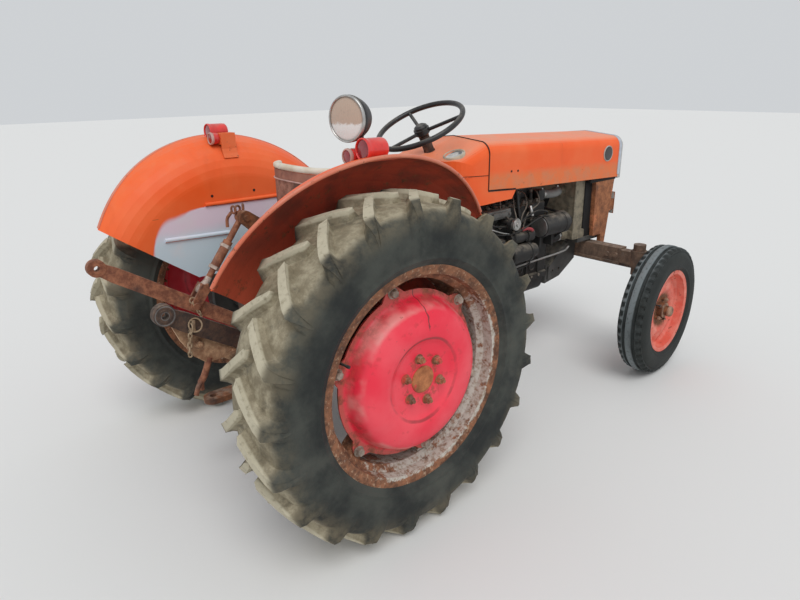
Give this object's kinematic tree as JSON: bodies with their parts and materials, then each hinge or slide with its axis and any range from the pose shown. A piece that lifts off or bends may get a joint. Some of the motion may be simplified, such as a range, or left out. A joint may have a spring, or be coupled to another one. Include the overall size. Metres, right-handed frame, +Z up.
{
  "type": "small farm tractor",
  "caption": "Small two-wheel-drive farm tractor with open engine, steered front wheels, rear fenders, seat and a rear three-point lift linkage.",
  "frame": {"origin": "centre of the bounding box on the ground under the wheels", "axes": "+X forward, +Y to the tractor's left, +Z up"},
  "size_m": [2.8697, 1.616, 1.476],
  "materials": {
    "grey_casting": "oily, dusty cast iron",
    "rusty_steel": "bare steel with a brown skin of rust",
    "worn_steel": "worn dark steel",
    "engine_trim": "old engine paint under dust and oil",
    "hose": "aged grey rubber",
    "orange_paint": "sun-faded orange paint, chipped and scratched",
    "silver_paint": "dull silver paint",
    "rusty_paint": "orange paint gone brown with rust",
    "black_plastic": "worn black plastic",
    "salmon_paint": "faded red-orange paint with a rusty hub",
    "red_paint": "pinkish red paint, dusty",
    "rim_rust": "silver paint mostly gone to rust",
    "tyre": "worn, dusty rubber",
    "red_lens": "dull red lamp glass and housing",
    "seat_cover": "soiled cream cover"
  },
  "bodies": {
    "chassis": {"gearbox": "grey_casting", "axle_trumpets": "grey_casting", "lift_housing": "grey_casting", "engine_block": "grey_casting", "cylinder_head": "grey_casting", "sump": "grey_casting", "front_bolster": "grey_casting", "front_axle": "rusty_steel", "radiator": "engine_trim", "fan": "engine_trim", "engine_ancillaries": "engine_trim", "coolant_hoses": "hose", "exhaust": "rusty_steel", "hood": "orange_paint", "grille": "silver_paint", "headlamps": "silver_paint", "grille_columns": "rusty_paint", "dash_cowl": "orange_paint", "steering_column": "worn_steel", "fender_left": "orange_paint", "fender_right": "orange_paint", "rear_lamps": "red_lens", "worklight": "black_plastic", "seat_pan": "rusty_paint", "seat_back": "seat_cover", "footplates": "worn_steel", "pedals_and_levers": "worn_steel", "drawbar": "rusty_steel"},
    "steering_wheel": {"steering_wheel": "black_plastic"},
    "drop_arm": {"drop_arm": "rusty_steel"},
    "drag_link": {"drag_link": "worn_steel"},
    "track_rod": {"track_rod": "worn_steel"},
    "knuckle_left": {"knuckle_left": "rusty_steel"},
    "knuckle_right": {"knuckle_right": "rusty_steel"},
    "front_wheel_left": {"front_rim_left": "salmon_paint", "front_tyre_left": "tyre"},
    "front_wheel_right": {"front_rim_right": "salmon_paint", "front_tyre_right": "tyre"},
    "rear_wheel_left": {"rear_tyre_left": "tyre", "rear_rim_left": "rim_rust", "rear_disc_left": "red_paint"},
    "rear_wheel_right": {"rear_tyre_right": "tyre", "rear_rim_right": "rim_rust", "rear_disc_right": "red_paint"},
    "lift_arms": {"lift_arms": "rusty_steel"},
    "lift_rod_left": {"lift_rod_left": "rusty_steel"},
    "lift_rod_right": {"lift_rod_right": "rusty_steel"},
    "lower_link_left": {"lower_link_left": "rusty_steel"},
    "lower_link_right": {"lower_link_right": "rusty_steel"}
  },
  "joints": [
    {"name": "rear_wheel_left_roll", "type": "hinge", "parent": "chassis", "child": "rear_wheel_left", "pos_m": [-0.75488, 0.655, 0.596], "axis": [0, 1, 0], "continuous": true},
    {"name": "rear_wheel_right_roll", "type": "hinge", "parent": "chassis", "child": "rear_wheel_right", "pos_m": [-0.75488, -0.655, 0.596], "axis": [0, 1, 0], "continuous": true},
    {"name": "knuckle_left_steer", "type": "hinge", "parent": "chassis", "child": "knuckle_left", "pos_m": [1.07912, 0.505, 0.598], "axis": [0, 0, 1], "range_deg": [-42.6, 33.4]},
    {"name": "knuckle_right_steer", "type": "hinge", "parent": "chassis", "child": "knuckle_right", "pos_m": [1.07912, -0.505, 0.598], "axis": [0, 0, 1], "range_deg": [-42.6, 33.4]},
    {"name": "front_wheel_left_roll", "type": "hinge", "parent": "knuckle_left", "child": "front_wheel_left", "pos_m": [1.06829, 0.63957, 0.345], "axis": [-0.0802, 0.9968, 0], "continuous": true},
    {"name": "front_wheel_right_roll", "type": "hinge", "parent": "knuckle_right", "child": "front_wheel_right", "pos_m": [1.08995, -0.63957, 0.345], "axis": [-0.0802, 0.9968, 0], "continuous": true},
    {"name": "track_rod_turn", "type": "hinge", "parent": "knuckle_left", "child": "track_rod", "pos_m": [1.21867, 0.51623, 0.532], "axis": [0, 0, 1], "range_deg": [-34.4, 43.6]},
    {"name": "drag_link_turn", "type": "hinge", "parent": "knuckle_left", "child": "drag_link", "pos_m": [1.08834, 0.39037, 0.676], "axis": [0, 0, 1], "range_deg": [-34.4, 43.6]},
    {"name": "drop_arm_swing", "type": "hinge", "parent": "chassis", "child": "drop_arm", "pos_m": [0.12712, 0.262, 0.816], "axis": [0, 1, 0], "range_deg": [-27.72, 35.08]},
    {"name": "steering_wheel_turn", "type": "hinge", "parent": "chassis", "child": "steering_wheel", "pos_m": [-0.04688, 0, 1.32], "axis": [-0.454, 0, 0.891], "range_deg": [-649, 511]},
    {"name": "lift_arms_raise", "type": "hinge", "parent": "chassis", "child": "lift_arms", "pos_m": [-0.59288, 0, 0.806], "axis": [0, -1, 0], "range_deg": [-2, 42]},
    {"name": "lower_link_left_swing", "type": "hinge", "parent": "chassis", "child": "lower_link_left", "pos_m": [-0.69488, 0.25, 0.408], "axis": [0, -1, 0], "range_deg": [-2.26, 27.46]},
    {"name": "lower_link_right_swing", "type": "hinge", "parent": "chassis", "child": "lower_link_right", "pos_m": [-0.69488, -0.25, 0.408], "axis": [0, -1, 0], "range_deg": [-2.26, 27.46]},
    {"name": "lift_rod_left_swing", "type": "hinge", "parent": "lift_arms", "child": "lift_rod_left", "pos_m": [-0.80659, 0.292, 0.97906], "axis": [0, -1, 0], "range_deg": [-43, 3]},
    {"name": "lift_rod_right_swing", "type": "hinge", "parent": "lift_arms", "child": "lift_rod_right", "pos_m": [-0.80659, -0.292, 0.97906], "axis": [0, -1, 0], "range_deg": [-43, 3]}
  ],
  "couplings": [
    {"joint": "knuckle_right_steer", "follows": "knuckle_left_steer", "ratio": 1},
    {"joint": "track_rod_turn", "follows": "knuckle_left_steer", "ratio": -1},
    {"joint": "drag_link_turn", "follows": "knuckle_left_steer", "ratio": -1},
    {"joint": "drop_arm_swing", "follows": "knuckle_left_steer", "ratio": -0.8},
    {"joint": "steering_wheel_turn", "follows": "knuckle_left_steer", "ratio": 15},
    {"joint": "lower_link_left_swing", "follows": "lift_arms_raise", "ratio": 0.63},
    {"joint": "lift_rod_left_swing", "follows": "lift_arms_raise", "ratio": -1},
    {"joint": "lower_link_right_swing", "follows": "lift_arms_raise", "ratio": 0.63},
    {"joint": "lift_rod_right_swing", "follows": "lift_arms_raise", "ratio": -1}
  ]
}
